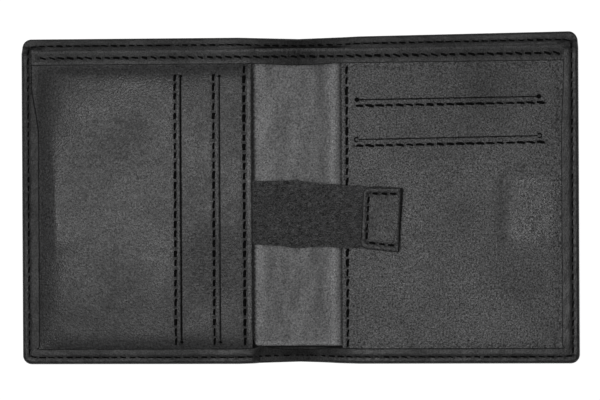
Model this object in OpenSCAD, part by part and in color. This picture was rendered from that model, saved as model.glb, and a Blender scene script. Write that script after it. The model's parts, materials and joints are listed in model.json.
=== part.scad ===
// Leather wallet that folds like a book, lying open on its outer face.
// +X runs across the open wallet, +Y towards the note compartment's mouth, +Z out of the
// inner face. The origin is under the middle of the spine, on the outer face.
// Each sheet of leather that bends is cut at its bends, so that every rigid stretch of it
// can turn with its own body: left half, spine, right half and five stretches of strap.

/* [Wallet] */
// Width of the wallet lying open
open_w = 185; // [180:1:195]
// Height of the wallet
open_h = 108; // [106:1:112]
// Distance between the two fold lines of the spine
spine_w = 11; // [11:0.5:14]
// Radius of the outer corners
corner_r = 3; // [2:0.5:5]
// How far the long edges are drawn in at the spine
waist = 0.6; // [0:0.1:1]
// Width of the turned-in edge round the shell
border = 5.2; // [4.5:0.1:6]

/* [Thicknesses] */
// Outer leather
shell_t = 1; // [0.8:0.1:1.2]
// Cloth that lines the outer leather
lining_t = 0.25; // [0.15:0.05:0.3]
// Free height of the note compartment, empty
note_gap = 0.45; // [0.4:0.05:0.6]
// Any turned or pared leather edge, and the note divider
edge_t = 0.6; // [0.5:0.1:0.7]
// Leather of the left pocket panel
left_panel_t = 0.9; // [0.7:0.1:1]
// Leather of the right pocket panel
right_panel_t = 0.7; // [0.6:0.05:0.7]
// Cloth behind each card slot
slot_lining_t = 0.2; // [0.1:0.05:0.2]
// Leather of the pull strap
strap_t = 0.7; // [0.5:0.1:0.7]

/* [Panels] */
// Distance of the left panel's open edge from the spine's middle
left_mouth = 15.5; // [15:0.5:18]
// Distance of the right panel's open edge from the spine's middle
right_mouth = 14.2; // [14:0.1:18]
// Height of the left panel's face above the outer face
left_top = 6; // [6:0.1:6.2]

/* [Card slots] */
// Distance of the left panel's outer slot from the spine's middle
outer_slot_x = 39; // [36:0.5:42]
// Distance of the left panel's inner slot from the spine's middle
inner_slot_x = 26.1; // [24:0.1:29]
// Length of the left panel's slots, for the long side of a card
long_slot = 87.4; // [86.5:0.1:88]
// Height of the right panel's upper slot above the middle
upper_slot_y = 34.2; // [32:0.1:36]
// Height of the right panel's lower slot above the middle
lower_slot_y = 21.2; // [19:0.1:23]
// Length of the right panel's slots, for the short side of a card
short_slot = 60; // [56:1:62]
// Diameter of the punched hole that ends a slot
slot_hole_d = 1.5; // [1:0.1:1.8]
// Width of a slot's cut
slot_cut = 0.5; // [0.3:0.1:0.8]

/* [Pull strap] */
// Width of the strap
strap_w = 21; // [16:1:24]
// Height of the strap's middle at the pocket's mouth
strap_y = -3.8; // [-8:0.1:4]
// How far the strap droops to the right, in degrees
strap_tilt = 2.5; // [0:0.5:3]
// Distance of the strap's hidden end from the pocket's mouth
strap_reach = 66.3; // [60:0.1:66.5]
// Length of the doubled end inside the pocket
pusher_len = 11.1; // [8:0.1:14]
// Length of the doubled finger tab
tab_len = 12.3; // [10:0.1:15]
// Distance of the tab's free corner edge from the spine's middle
tab_x = 21.2; // [21:0.1:24]

/* [Stitching] */
// Distance between stitches of the edges
stitch_pitch = 3; // [2.6:0.1:3.4]
// Distance between stitches beside the slots and mouths
slot_pitch = 3.3; // [3:0.1:3.6]
// Width of the thread
thread_w = 0.5; // [0.3:0.1:0.6]

/* [Hidden] */

half_w = open_w / 2;
half_h = open_h / 2;
waist_x = 20;            // the long edges are drawn in within this distance of the middle
wall_t = 1;              // the shell's leather where it turns up round the edge
slack = 0.1;             // room between the turned-up edge and what it wraps
wrapped = wall_t + slack;
hem_end = 14;            // the raised hem of each half stops here, short of the spine

// Heights of the layers, from the outer face up
lining_top = shell_t + lining_t;
low_hem_top = shell_t + edge_t;
divider_z = lining_top + note_gap;
divider_top = divider_z + edge_t;
flange_top = divider_top + edge_t;
flap_top = flange_top + edge_t;
thread_h = 0.2;
right_cavity_top = divider_top + 2 * slot_lining_t;
right_top = right_cavity_top + right_panel_t;
strap_z = right_top + thread_h + slack;
strap_top = strap_z + strap_t;
left_cavity_top = left_top - left_panel_t;

// Upper edges of the note compartment
facing_top_y = half_h - 3.7;
facing_w = 5;
divider_top_y = facing_top_y - edge_t;
low_hem_y = half_h - 5.5;
spine_edge_y = half_h - 6;

// Fold lines and the free room that each layer needs at them
fold_x = spine_w / 2;
fold_z = 0.6;
fold_room = 0.2;
strap_room = 0.3;
function reach(top) = max(top - fold_z, 0) + fold_room;
function half_cut(top) = fold_x + reach(top);
function spine_cut(top) = fold_x - reach(top);

// Bends of the strap
lift_x = 13.5;
lift_gap = 0.35;
bridge_cut = strap_top - fold_z + strap_room;
tab_hinge_x = tab_x - 0.4;
tab_gap = 0.45;
tab_step = 0.5;
strap_end_u = (tab_x + tab_len + left_mouth) / cos(strap_tilt);
tab_start_u = (tab_x + left_mouth) / cos(strap_tilt);
pusher_u = -strap_reach;

// Raised face of each panel
left_slope = 5;
top_slope = 3;
bottom_slope = 2;
right_slope = 1.2;
slope_inset = 1.1;
slope_ease = 0.5;        // the hollow's sides are a little steeper than the face's

// Places of the card slots
long_slot_top = half_h - 13;
long_slot_y = [long_slot_top - long_slot, long_slot_top];
short_slot_start = right_mouth + 5.2;
short_slot_x = [short_slot_start, short_slot_start + short_slot];
card_depth = 54.5;
slot_lap = 1.5;          // a slot's lining starts this far in front of its cut
lining_inset = 0.6;

// Places of the seams
seam_x = half_w - 2.5;
seam_y = half_h - 2.2;
facing_seam_y = facing_top_y - 2.7;
left_mouth_seam = 2.5;
right_mouth_seam = 1.8;
slot_seam = 2;
pusher_seam = 1.5;
tab_seam = 2;
left_mouth_seam_y = [-half_h + 8, half_h - 12.6];
right_mouth_seam_y = [-half_h + 7.5, half_h - 11.2];
long_seam_lap = 0.4;     // the slots' seams run a little past the cuts
short_seam_lap = [0.7, 2];
tab_rows_gap = 0.5;      // the tab's three rows stop short of each other at its corners
tab_rows_end = 1;

panel_grey = "#4d4d4d";
facing_grey = "#383838";
divider_grey = "#5d5d5d";
shell_grey = "#3a3a3a";
lining_grey = "#2b2b2b";
strap_grey = "#343434";
thread_grey = "#555555";

$fn = 32;
corner_steps = 6;

function edge_y(x) = half_h - waist * max(0, 1 - x / waist_x);

function arc(c, r, from, to) = [
    for (i = [0 : corner_steps])
        let (a = from + (to - from) * i / corner_steps)
        c + r * [cos(a), sin(a)]
];

// Outline of the left half from its outer edge to x = -cut, drawn in by d
function half_outline(cut, d) =
    let (
        r = max(corner_r - d, 0.5),
        cx = -(half_w - d - r),
        cy = half_h - d - r
    )
    concat(
        [[-cut, edge_y(cut) - d], [-waist_x, half_h - d]],
        arc([cx, cy], r, 90, 180),
        arc([cx, -cy], r, 180, 270),
        [[-waist_x, -(half_h - d)], [-cut, -(edge_y(cut) - d)]]
    );

// Outline of a stretch of spine from x = -cut to x = cut, between its own long edges
function spine_outline(cut, d) = [
    [-cut, -(edge_y(cut) - d)], [0, -(edge_y(0) - d)], [cut, -(edge_y(cut) - d)],
    [cut, edge_y(cut) - d], [0, edge_y(0) - d], [-cut, edge_y(cut) - d]
];

module plate(points, z0, z1) {
    translate([0, 0, z0]) linear_extrude(z1 - z0) polygon(points);
}

module box(x0, x1, y0, y1, z0, z1) {
    translate([x0, y0, z0]) cube([x1 - x0, y1 - y0, z1 - z0]);
}

module other_half() {
    mirror([1, 0, 0]) children();
}

// Block with sloping sides; each slope is the run of one side over the full height
module sloped_block(x0, x1, y0, y1, z0, z1, run_x0, run_x1, run_y0, run_y1) {
    intersection() {
        translate([0, y1, 0]) rotate([90, 0, 0]) linear_extrude(y1 - y0)
            polygon([[x0, z0], [x1, z0], [x1 - run_x1, z1], [x0 + run_x0, z1]]);
        translate([x0, 0, 0]) rotate([90, 0, 90]) linear_extrude(x1 - x0)
            polygon([[y0, z0], [y1, z0], [y1 - run_y1, z1], [y0 + run_y0, z1]]);
    }
}

// Row of stitches from a to b, lying on the height z
module stitches(a, b, z, pitch) {
    run = b - a;
    count = round(norm(run) / pitch);
    step = norm(run) / count;
    for (i = [0 : count - 1])
        translate([a[0], a[1], z]) rotate([0, 0, atan2(run[1], run[0])])
            translate([(i + 0.14) * step, -thread_w / 2, 0])
                cube([0.72 * step, thread_w, thread_h]);
}

// Shell: outer leather, turned up and in along the side and the bottom, and turned flat
// on itself along the top and across the spine
module half_shell() {
    plate(half_outline(half_cut(shell_t), 0), 0, shell_t);
    difference() {
        plate(half_outline(hem_end, 0), shell_t / 2, flap_top);
        plate(half_outline(hem_end - 1, wall_t), shell_t, flange_top);
        box(-(half_w - border), 0, -(half_h - border), half_h + 1, shell_t, flap_top + 1);
        box(-open_w, 0, facing_top_y + slack, open_h, shell_t, flap_top + 1);
    }
    intersection() {
        plate(half_outline(half_cut(low_hem_top), 0), shell_t / 2, low_hem_top);
        union() {
            box(-open_w, 0, low_hem_y, open_h, 0, flap_top);
            box(-hem_end - 1, 0, -open_h, -(half_h - border), 0, flap_top);
        }
    }
}

module half_shell_lining(inner_x) {
    box(-(half_w - wrapped), -inner_x, -(half_h - border - slack), low_hem_y - slack,
        shell_t, lining_top);
}

module half_divider(mouth) {
    difference() {
        plate(half_outline(half_cut(divider_top), wrapped), divider_z, divider_top);
        box(-open_w, 0, divider_top_y, open_h, 0, flap_top);
        box(-mouth, 0, -open_h, -spine_edge_y, 0, flap_top);
    }
}

// Facing: covers the divider's upper edge from the side's turned-in edge to the spine, and
// is raised where it also covers a panel's edge
module half_facing(mouth) {
    low_y = facing_top_y - facing_w;
    outer_x = -(half_w - border);
    step_x = -mouth + slack;
    low_x = -half_cut(flange_top);
    box(outer_x, step_x + 1, low_y, facing_top_y, flange_top, flap_top);
    box(step_x, low_x, low_y, facing_top_y, divider_top, flange_top);
    box(outer_x, step_x + 1, divider_top_y, facing_top_y, divider_z, flap_top);
    box(step_x, low_x, divider_top_y, facing_top_y, divider_z, flange_top);
}

// Flat seam allowance of a panel, under the turned-in edge and the facing
module panel_flange(mouth) {
    difference() {
        plate(half_outline(mouth, wrapped), divider_top, flange_top);
        box(-open_w, 0, divider_top_y, open_h, 0, flap_top);
    }
}

module slot_cut_along_y(x, y0, y1) {
    box(x - slot_cut / 2, x + slot_cut / 2, y0, y1, left_cavity_top - 1, left_top + 1);
    for (y = [y0, y1])
        translate([x, y, left_cavity_top - 1])
            cylinder(d = slot_hole_d, h = left_panel_t + 2);
}

module slot_cut_along_x(y, x0, x1) {
    box(x0, x1, y - slot_cut / 2, y + slot_cut / 2, right_cavity_top - 0.2, right_top + 1);
    for (x = [x0, x1])
        translate([x, y, right_cavity_top - 0.2])
            cylinder(d = slot_hole_d, h = right_panel_t + 1);
}

// Left half

module shell_left() {
    color(shell_grey) half_shell();
}

module shell_lining_left() {
    color(lining_grey) half_shell_lining(half_cut(lining_top));
}

module divider_left() {
    color(divider_grey) half_divider(left_mouth);
}

module facing_left() {
    color(facing_grey) half_facing(left_mouth);
}

module left_panel() {
    x0 = -(half_w - border - slack);
    y0 = -(half_h - border - slack);
    y1 = facing_top_y - facing_w - slack;
    low = divider_top;
    color(panel_grey) difference() {
        union() {
            panel_flange(left_mouth);
            sloped_block(x0, -left_mouth, y0, y1, low, left_top,
                         left_slope, 0, bottom_slope, top_slope);
        }
        sloped_block(x0 + slope_inset, 0, y0 + slope_inset, y1 - slope_inset,
                     low - 0.1, left_cavity_top,
                     left_slope - slope_ease, 0, bottom_slope - slope_ease,
                     top_slope - slope_ease);
        slot_cut_along_y(-outer_slot_x, long_slot_y[0], long_slot_y[1]);
        slot_cut_along_y(-inner_slot_x, long_slot_y[0], long_slot_y[1]);
    }
}

module left_outer_slot_lining() {
    color(lining_grey)
        box(-(half_w - border - left_slope - slot_lap), -(outer_slot_x - slot_lap),
            long_slot_y[0] + lining_inset, long_slot_y[1] - lining_inset,
            left_cavity_top - slot_lining_t, left_cavity_top);
}

module left_inner_slot_lining() {
    color(lining_grey)
        box(-(inner_slot_x + card_depth) + border, -(inner_slot_x - slot_lap),
            long_slot_y[0] + lining_inset, long_slot_y[1] - lining_inset,
            left_cavity_top - 2 * slot_lining_t, left_cavity_top - slot_lining_t);
}

module half_edge_thread() {
    stitches([-seam_x, -seam_y], [-seam_x, facing_top_y - 1], flap_top, stitch_pitch);
    stitches([-seam_x, -seam_y], [-hem_end - 1, -seam_y], flap_top, stitch_pitch);
    stitches([-seam_x, seam_y], [-half_cut(low_hem_top) - 0.5, seam_y], low_hem_top,
             stitch_pitch);
}

module half_facing_thread(mouth) {
    stitches([-(half_w - border), facing_seam_y], [-mouth - 1, facing_seam_y], flap_top,
             stitch_pitch);
}

module edge_thread_left() {
    color(thread_grey) half_edge_thread();
}

module facing_thread_left() {
    color(thread_grey) half_facing_thread(left_mouth);
}

module left_mouth_thread() {
    x = -(left_mouth + left_mouth_seam);
    color(thread_grey)
        stitches([x, left_mouth_seam_y[0]], [x, left_mouth_seam_y[1]], left_top, slot_pitch);
}

module left_slot_thread(slot_x) {
    x = -(slot_x + slot_seam);
    color(thread_grey)
        stitches([x, long_slot_y[0] - long_seam_lap], [x, long_slot_y[1]], left_top,
                 slot_pitch);
}

module left_outer_slot_thread() {
    left_slot_thread(outer_slot_x);
}

module left_inner_slot_thread() {
    left_slot_thread(inner_slot_x);
}

// Spine

module shell_spine() {
    color(shell_grey) union() {
        plate(spine_outline(spine_cut(shell_t), 0), 0, shell_t);
        intersection() {
            plate(spine_outline(spine_cut(low_hem_top), 0), shell_t / 2, low_hem_top);
            union() {
                box(-fold_x, fold_x, low_hem_y, open_h, 0, flap_top);
                box(-fold_x, fold_x, -open_h, -(half_h - border), 0, flap_top);
            }
        }
    }
}

module shell_lining_spine() {
    x = spine_cut(lining_top);
    color(lining_grey)
        box(-x, x, -(half_h - border - slack), low_hem_y - slack, shell_t, lining_top);
}

module divider_spine() {
    x = spine_cut(divider_top);
    color(divider_grey) box(-x, x, -spine_edge_y, divider_top_y, divider_z, divider_top);
}

module facing_spine() {
    x = spine_cut(flange_top);
    color(facing_grey) union() {
        box(-x, x, facing_top_y - facing_w, facing_top_y, divider_top, flange_top);
        box(-x, x, divider_top_y, facing_top_y, divider_z, flange_top);
    }
}

module hem_thread_spine() {
    x = spine_cut(low_hem_top + thread_h);
    color(thread_grey)
        for (y = [-seam_y, seam_y])
            stitches([-x, y], [x, y], low_hem_top, stitch_pitch);
}

module facing_thread_spine() {
    x = spine_cut(flange_top + thread_h);
    color(thread_grey)
        stitches([-x, facing_seam_y], [x, facing_seam_y], flange_top, stitch_pitch);
}

// Right half

module shell_right() {
    color(shell_grey) other_half() half_shell();
}

module shell_lining_right() {
    color(lining_grey) other_half() half_shell_lining(half_cut(lining_top));
}

module divider_right() {
    color(divider_grey) other_half() half_divider(right_mouth);
}

module facing_right() {
    color(facing_grey) other_half() half_facing(right_mouth);
}

module right_panel() {
    x1 = half_w - border - slack;
    y0 = -(half_h - border - slack);
    y1 = facing_top_y - facing_w - slack;
    color(panel_grey) difference() {
        union() {
            other_half() panel_flange(right_mouth);
            sloped_block(right_mouth, x1, y0, y1, divider_top, right_top,
                         0, right_slope, right_slope, right_slope);
        }
        box(0, x1 - 2, y0 + 2, y1 - 2, divider_top - 0.1, right_cavity_top);
        slot_cut_along_x(upper_slot_y, short_slot_x[0], short_slot_x[1]);
        slot_cut_along_x(lower_slot_y, short_slot_x[0], short_slot_x[1]);
    }
}

module right_slot_lining(y, z) {
    color(lining_grey)
        box(short_slot_x[0] + lining_inset, short_slot_x[1] - lining_inset,
            y - card_depth, y + slot_lap, z, z + slot_lining_t);
}

module right_upper_slot_lining() {
    right_slot_lining(upper_slot_y, divider_top + slot_lining_t);
}

module right_lower_slot_lining() {
    right_slot_lining(lower_slot_y, divider_top);
}

module edge_thread_right() {
    color(thread_grey) other_half() half_edge_thread();
}

module facing_thread_right() {
    color(thread_grey) other_half() half_facing_thread(right_mouth);
}

module right_mouth_thread() {
    x = right_mouth + right_mouth_seam;
    color(thread_grey)
        stitches([x, right_mouth_seam_y[0]], [x, right_mouth_seam_y[1]], right_top,
                 slot_pitch);
}

module right_slot_thread(y) {
    color(thread_grey)
        stitches([short_slot_x[0] - short_seam_lap[0], y - slot_seam],
                 [short_slot_x[1] + short_seam_lap[1], y - slot_seam], right_top, slot_pitch);
}

module right_upper_slot_thread() {
    right_slot_thread(upper_slot_y);
}

module right_lower_slot_thread() {
    right_slot_thread(lower_slot_y);
}

// Pull strap: one strip of leather from inside the left pocket to the finger tab.
// Its own frame starts at the pocket's mouth, with u along the strip.

module strap_frame() {
    translate([-left_mouth, strap_y, 0]) rotate([0, 0, -strap_tilt]) children();
}

module strap_strip(u0, u1, z0) {
    strap_frame() translate([u0, -strap_w / 2, z0]) cube([u1 - u0, strap_w, strap_t]);
}

module between(x0, x1) {
    intersection() {
        children();
        box(x0, x1, -half_h, half_h, 0, left_top + 4);
    }
}

module strap_run(x0, x1) {
    color(strap_grey) between(x0, x1) strap_strip(pusher_u, strap_end_u, strap_z);
}

module strap_inner_run() {
    color(strap_grey) union() {
        between(-half_w, -lift_x - lift_gap) strap_strip(pusher_u, 0.5 * strap_w, strap_z);
        strap_strip(pusher_u, pusher_u + pusher_len, strap_z - strap_t);
    }
}

module strap_mouth_run() {
    strap_run(-lift_x + lift_gap, -fold_x - bridge_cut);
}

module strap_bridge_run() {
    strap_run(-fold_x + bridge_cut, fold_x - bridge_cut);
}

module strap_tip_run() {
    strap_run(fold_x + bridge_cut, tab_hinge_x - tab_gap);
}

module strap_tab_end() {
    color(strap_grey) union() {
        between(tab_hinge_x + tab_gap, half_w)
            strap_strip(pusher_u, strap_end_u, strap_z);
        strap_strip(tab_start_u + tab_step, strap_end_u, strap_top);
    }
}

module pusher_thread() {
    u = pusher_u + pusher_len - pusher_seam;
    side = strap_w / 2 - pusher_seam;
    color(thread_grey) strap_frame()
        stitches([u, -side], [u, side], strap_top, stitch_pitch);
}

module tab_thread() {
    side = strap_w / 2 - tab_seam;
    u0 = tab_start_u + tab_step + tab_seam;
    u1 = strap_end_u - tab_rows_end;
    color(thread_grey) strap_frame() {
        stitches([u0, -side + tab_rows_gap], [u0, side - tab_rows_gap], strap_top + strap_t,
                 stitch_pitch);
        for (s = [-1, 1])
            stitches([u0 + tab_rows_gap, s * side], [u1, s * side], strap_top + strap_t,
                     stitch_pitch);
    }
}

shell_left();
shell_lining_left();
divider_left();
facing_left();
left_panel();
left_outer_slot_lining();
left_inner_slot_lining();
edge_thread_left();
facing_thread_left();
left_mouth_thread();
left_outer_slot_thread();
left_inner_slot_thread();
shell_spine();
shell_lining_spine();
divider_spine();
facing_spine();
hem_thread_spine();
facing_thread_spine();
shell_right();
shell_lining_right();
divider_right();
facing_right();
right_panel();
right_upper_slot_lining();
right_lower_slot_lining();
edge_thread_right();
facing_thread_right();
right_mouth_thread();
right_upper_slot_thread();
right_lower_slot_thread();
strap_inner_run();
strap_mouth_run();
strap_bridge_run();
strap_tip_run();
strap_tab_end();
pusher_thread();
tab_thread();
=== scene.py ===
"""Looks of an open leather wallet, built round its CAD frame. Lengths inside are in millimetres."""

import json
import math

import bpy
import numpy as np
from mathutils import Matrix, Vector
from mathutils.geometry import delaunay_2d_cdt


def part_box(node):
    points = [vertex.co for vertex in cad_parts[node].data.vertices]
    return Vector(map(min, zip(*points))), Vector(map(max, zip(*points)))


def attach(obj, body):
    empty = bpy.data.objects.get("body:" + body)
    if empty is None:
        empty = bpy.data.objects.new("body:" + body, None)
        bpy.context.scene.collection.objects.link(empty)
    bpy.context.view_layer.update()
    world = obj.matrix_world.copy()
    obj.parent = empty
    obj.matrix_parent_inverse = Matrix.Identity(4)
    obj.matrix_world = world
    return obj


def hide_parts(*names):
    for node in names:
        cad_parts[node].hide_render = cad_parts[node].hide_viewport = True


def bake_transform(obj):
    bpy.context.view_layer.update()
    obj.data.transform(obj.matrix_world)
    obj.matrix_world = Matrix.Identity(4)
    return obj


MM = 0.001
SIDES = ("left", "right")

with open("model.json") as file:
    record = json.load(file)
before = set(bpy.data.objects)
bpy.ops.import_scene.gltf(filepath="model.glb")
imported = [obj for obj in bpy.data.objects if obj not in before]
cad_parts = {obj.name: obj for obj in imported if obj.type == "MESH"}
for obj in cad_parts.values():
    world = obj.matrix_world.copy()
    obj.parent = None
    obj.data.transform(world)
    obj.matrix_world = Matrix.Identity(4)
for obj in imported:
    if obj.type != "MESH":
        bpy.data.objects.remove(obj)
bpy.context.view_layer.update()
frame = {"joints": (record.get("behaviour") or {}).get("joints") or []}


# ---------------------------------------------------------------- places from the frame

def corners(node):
    """Lowest and highest corner of a CAD node, in millimetres."""
    low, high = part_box(node)
    return np.array(low) / MM, np.array(high) / MM


joints = {joint["name"]: joint for joint in frame["joints"]}
(side_x, _, _), (_, HALF_H, FLAP_TOP) = corners("shell_left")
HALF_W = -side_x
(_, LINING_LOW_Y, SHELL_T), (_, LINING_HIGH_Y, LINING_TOP) = corners("shell_lining_left")
LOW_HEM_TOP = corners("shell_spine")[1][2]
(_, SPINE_EDGE_Y, DIVIDER_Z), (_, DIVIDER_TOP_Y, DIVIDER_TOP) = corners("divider_spine")
(_, FACING_LOW_Y, _), (_, FACING_TOP_Y, FACING_LOW_TOP) = corners("facing_spine")
FACING_HIGH_TOP = corners("facing_left")[1][2]
FLANGE_TOP = FACING_LOW_TOP    # the panels' sewn rims are as high as the facing at the spine
(WRAPPED_X, _, _), (LEFT_MOUTH, _, LEFT_TOP) = corners("left_panel")
RIGHT_MOUTH = corners("right_panel")[0][0]
(_, _, STRAP_Z), (_, _, STRAP_TOP) = corners("strap_tip_run")
STRAP_T = STRAP_TOP - STRAP_Z
STRAP_DIR = -np.array(joints["strap_pull"]["axis"][:2])
FOLD_X, LIFT_X, TAB_HINGE_X = (joints[name]["pos_m"][0] / MM
                               for name in ("right_fold", "strap_lift", "tab_lift"))
SLOT_LAP = 1.5            # a slot's cloth reaches this far past it in the CAD model
SLOT_DROP = 0.65          # the right panel's slots have sagged this far
OUTER_SLOT_X = corners("left_outer_slot_lining")[1][0] - SLOT_LAP
INNER_SLOT_X = corners("left_inner_slot_lining")[1][0] - SLOT_LAP
UPPER_SLOT_Y = corners("right_upper_slot_lining")[1][1] - SLOT_LAP - SLOT_DROP
LOWER_SLOT_Y = corners("right_lower_slot_lining")[1][1] - SLOT_LAP - SLOT_DROP

CORNER_R = 3.0
WAIST, WAIST_X = 0.6, 20.0    # the long edges draw in this much at the spine, from WAIST_X on
STRETCH = 0.6             # the leather is worn this much longer from its lower to its upper edge
FLARE = 1.2               # and the right half's far end this much more than its fold,
HEM_SHARE = 14            # mostly close to the upper edge: the power of the height that it follows
EDGE_SEAM = 2.3           # the edge seam's distance from the outer edge
STITCH_PITCH = 3.0        # of the edge seam
SLOT_PITCH = 3.2          # of the left panel's seams
BEND = 5.0                # a fold's leather bends this far each side of its line
FLAP_T = 0.58             # thickness of the turned-in edge and of the left panel
POCKET_T = 0.6            # thickness of the right panel and of the facing
PLATE_TOP = SHELL_T - 0.02
PLATE_INSET = 8.0         # the shell's edge is modelled by its cross-section this far in


# ---------------------------------------------------------------- small maths

def ramp(value, low, high):
    """0 below low, 1 above high, smooth between."""
    t = np.clip((np.asarray(value, float) - low) / (high - low), 0, 1)
    return t * t * (3 - 2 * t)


def between(value, start, full, fading, end):
    """0 outside start and end, 1 from full to fading, smooth between."""
    return ramp(value, start, full) * (1 - ramp(value, fading, end))


def bell(offset, width, power=2):
    """1 at 0 and about a third at width on both sides; a higher power makes its top flatter."""
    return np.exp(-(np.asarray(offset, float) / width) ** power)


def eased(t):
    """0 below 0, 1 above 1, steep at first and then flattening out."""
    return 1 - (1 - np.clip(t, 0, 1)) ** 3


def waves(x, y, size, seed):
    """Smooth seeded noise of about +-1, with features of that size."""
    count = 9
    rng = np.random.default_rng(seed)
    total = np.zeros_like(np.asarray(x, float))
    for _ in range(count):
        turn = rng.uniform(0, math.tau)
        length = size * rng.uniform(0.7, 1.6)
        total = total + np.sin((x * math.cos(turn) + y * math.sin(turn)) * math.tau / length
                               + rng.uniform(0, math.tau))
    return total / math.sqrt(count)


def edge_y(x, inset):
    """Height of a line that lies inset from the shell's long edge."""
    return HALF_H - inset - WAIST * np.maximum(0, 1 - np.abs(x) / WAIST_X)


def dense(points, step, closed=True):
    """A polyline with its long stretches divided."""
    points = [np.array(p, float) for p in points]
    ends = points[1:] + ([points[0]] if closed else [])
    out = []
    for a, b in zip(points, ends):
        pieces = max(1, round(float(np.linalg.norm(b - a)) / step))
        out += [a + (b - a) * i / pieces for i in range(pieces)]
    if not closed:
        out.append(points[-1])
    return np.array(out)


def arc(cx, cy, r, start, end, count=7):
    angles = np.radians(np.linspace(start, end, count))
    return [(cx + r * math.cos(a), cy + r * math.sin(a)) for a in angles]


def rectangle(x0, x1, y0, y1, step):
    return dense([(x0, y0), (x1, y0), (x1, y1), (x0, y1)], step)


def grid(xs, ys, stagger=0.0):
    """Points of a grid, with every second row moved along by stagger."""
    gx, gy = np.meshgrid(xs, ys)
    gx = gx + (np.arange(len(ys)) % 2)[:, None] * stagger
    return np.c_[gx.ravel(), gy.ravel()]


def rounded(x0, x1, y0, y1, radii, step):
    """Closed outline, anticlockwise from the lower left corner, with a radius for each corner."""
    a, b, c, d = radii
    points = (arc(x0 + a, y0 + a, a, 180, 270) + arc(x1 - b, y0 + b, b, 270, 360)
              + arc(x1 - c, y1 - c, c, 0, 90) + arc(x0 + d, y1 - d, d, 90, 180))
    return dense(points, step)


def shifted(loop, distance):
    """The closed loop moved inwards by distance, or outwards if it is negative."""
    before, after = np.roll(loop, 1, 0), np.roll(loop, -1, 0)
    e0, e1 = loop - before, after - loop
    e0 /= np.maximum(np.linalg.norm(e0, axis=1), 1e-9)[:, None]
    e1 /= np.maximum(np.linalg.norm(e1, axis=1), 1e-9)[:, None]
    n0, n1 = np.c_[-e0[:, 1], e0[:, 0]], np.c_[-e1[:, 1], e1[:, 0]]
    n = n0 + n1
    n /= np.maximum(np.linalg.norm(n, axis=1), 1e-9)[:, None]
    return loop + n * (distance / np.maximum((n * n0).sum(1), 0.5))[:, None]


def inside(points, loop):
    """Which points lie inside a closed loop."""
    x, y = points[:, 0], points[:, 1]
    found = np.zeros(len(points), bool)
    for (ax, ay), (bx, by) in zip(loop, np.roll(loop, -1, 0)):
        if ay == by:
            continue
        crosses = (ay > y) != (by > y)
        found ^= crosses & (x < (bx - ax) * (y - ay) / (by - ay) + ax)
    return found


def on_line(xa, xb, cuts):
    """Whether an edge lies on one of the lines x = cut."""
    return any(abs(xa - c) + abs(xb - c) < 1e-6 for c in cuts)


def distance_to(points, loops, cuts=()):
    """Distance of each point from the nearest loop, without its edges on the lines x = cut."""
    best = np.full(len(points), 1e9)
    for loop in loops:
        for a, b in zip(loop, np.roll(loop, -1, 0)):
            if on_line(a[0], b[0], cuts):
                continue
            ab = b - a
            near = np.abs(points - (a + b) / 2).max(1) < np.abs(ab).max() / 2 + 2.5
            if not near.any():
                continue
            p = points[near]
            t = np.clip(((p - a) @ ab) / max(float(ab @ ab), 1e-12), 0, 1)
            best[near] = np.minimum(best[near], np.linalg.norm(p - a - t[:, None] * ab, axis=1))
    return best


# ---------------------------------------------------------------- seams

class Seam:
    """A straight row of needle holes."""

    def __init__(self, start, end, pitch, groove=0.14, bead_side=0.0, bead_at=1.1,
                 runs_on=(False, False)):
        self.start, self.end = np.array(start, float), np.array(end, float)
        run = self.end - self.start
        self.length = float(np.linalg.norm(run))
        self.along = run / self.length
        self.across = np.array([-self.along[1], self.along[0]])
        self.count = max(1, round(self.length / pitch))
        self.step = self.length / self.count
        self.groove, self.bead_side, self.bead_at = groove, bead_side, bead_at
        self.runs_on = runs_on

    def holes(self):
        return self.start + np.outer(np.arange(self.count + 1) * self.step, self.along)

    def relief(self, x, y):
        """Change of height that the seam makes, and the painted shade of its holes."""
        dx, dy = x - self.start[0], y - self.start[1]
        s = dx * self.along[0] + dy * self.along[1]
        d = dx * self.across[0] + dy * self.across[1]
        on = 1.0 if self.runs_on[0] else ramp(s, -1.6, 0.2)
        on = on * (1.0 if self.runs_on[1] else 1 - ramp(s, self.length - 0.2, self.length + 1.6))
        nearest = np.clip(np.round(s / self.step), 0, self.count) * self.step
        # hole: painted shade in each needle hole's dimple
        hole = 0.6 * np.exp(-((s - nearest) ** 2 / 0.10 + d ** 2 / 0.14))
        pucker = np.cos(math.tau * s / self.step)
        z = -self.groove * bell(d, 0.62) * on * (0.8 + 0.2 * pucker) - 0.25 * hole
        z = z - 0.05 * pucker * on * bell(np.abs(d) - 1.0, 0.45)
        if self.bead_side:
            z = z + 0.12 * on * bell(d * self.bead_side - self.bead_at, 0.6)
        return z, hole

    def mesh_points(self):
        """Places where the leather's mesh has to be fine."""
        fine = [self.start + self.along * s + self.across * d
                for s in np.arange(0, self.length, 0.75)
                for d in (-1.5, -0.9, -0.45, 0.0, 0.45, 0.9, 1.5)]
        for hole in self.holes():
            fine += [hole + r * np.array([math.cos(a), math.sin(a)])
                     for r, n in ((0.25, 6), (0.5, 8))
                     for a in np.linspace(0, math.tau, n, endpoint=False)]
        return np.array(fine)


def all_relief(seams, x, y):
    z, dark = np.zeros_like(x), np.zeros_like(x)
    for seam in seams:
        dz, hole = seam.relief(x, y)
        z, dark = z + dz, np.maximum(dark, hole)
    return z, dark


def crease(x, y, a, b, depth, width):
    """A short soft groove from a to b."""
    a, b = np.array(a, float), np.array(b, float)
    ab = b - a
    t = np.clip(((x - a[0]) * ab[0] + (y - a[1]) * ab[1]) / float(ab @ ab), 0, 1)
    d2 = (x - a[0] - t * ab[0]) ** 2 + (y - a[1] - t * ab[1]) ** 2
    return -depth * np.exp(-d2 / width ** 2)


# ---------------------------------------------------------------- meshes

def add_object(name, data):
    obj = bpy.data.objects.new(name, data)
    bpy.context.scene.collection.objects.link(obj)
    return obj


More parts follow.
